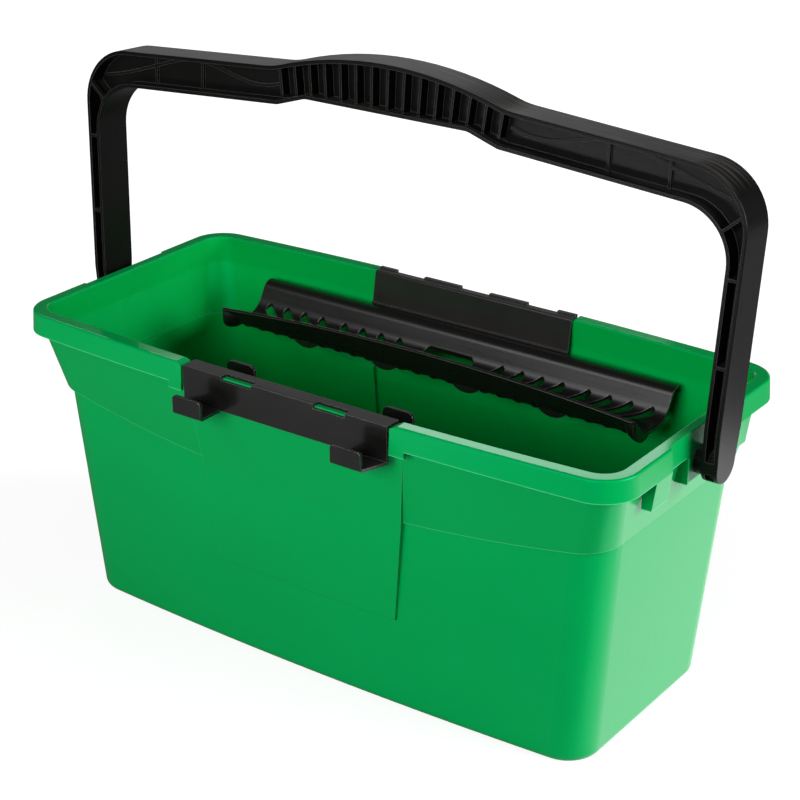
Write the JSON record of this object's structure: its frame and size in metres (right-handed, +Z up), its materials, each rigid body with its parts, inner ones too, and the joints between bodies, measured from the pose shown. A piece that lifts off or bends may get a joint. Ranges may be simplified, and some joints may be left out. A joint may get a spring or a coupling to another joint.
{
  "type": "window cleaning bucket",
  "caption": "Long rectangular bucket with bowed sides, a swinging bail handle, rim clips with tool hooks and a hanging sieve tray for wetting window cleaning tools.",
  "frame": {"origin": "centre of the flat base, on the surface that the bucket stands on", "axes": "+X along the length, -Y towards the front with the tool hooks, +Z up"},
  "size_m": [0.5668, 0.2666, 0.441],
  "materials": {
    "green_plastic": "satin moulded polypropylene, bright green",
    "handle_plastic": "satin black moulded plastic",
    "clip_plastic": "satin black moulded plastic",
    "tray_plastic": "satin black moulded plastic"
  },
  "bodies": {
    "tub": {"bucket_body": "green_plastic"},
    "handle": {"handle": "handle_plastic"},
    "front_clip": {"front_tool_clip": "clip_plastic"},
    "rear_clip": {"rear_clip": "clip_plastic"},
    "tray": {"sieve_tray": "tray_plastic"}
  },
  "joints": [
    {"name": "handle_swing", "type": "hinge", "parent": "tub", "child": "handle", "pos_m": [0, 0, 0.212], "axis": [1, 0, 0], "range_deg": [-130, 136]},
    {"name": "front_lift", "type": "slide", "parent": "tub", "child": "front_clip", "axis": [0, 0, 1], "range_m": [0, 0.05]},
    {"name": "rear_lift", "type": "slide", "parent": "tub", "child": "rear_clip", "axis": [0, 0, 1], "range_m": [0, 0.05]},
    {"name": "tray_lift", "type": "slide", "parent": "rear_clip", "child": "tray", "axis": [0, 0, 1], "range_m": [0, 0.06]}
  ]
}
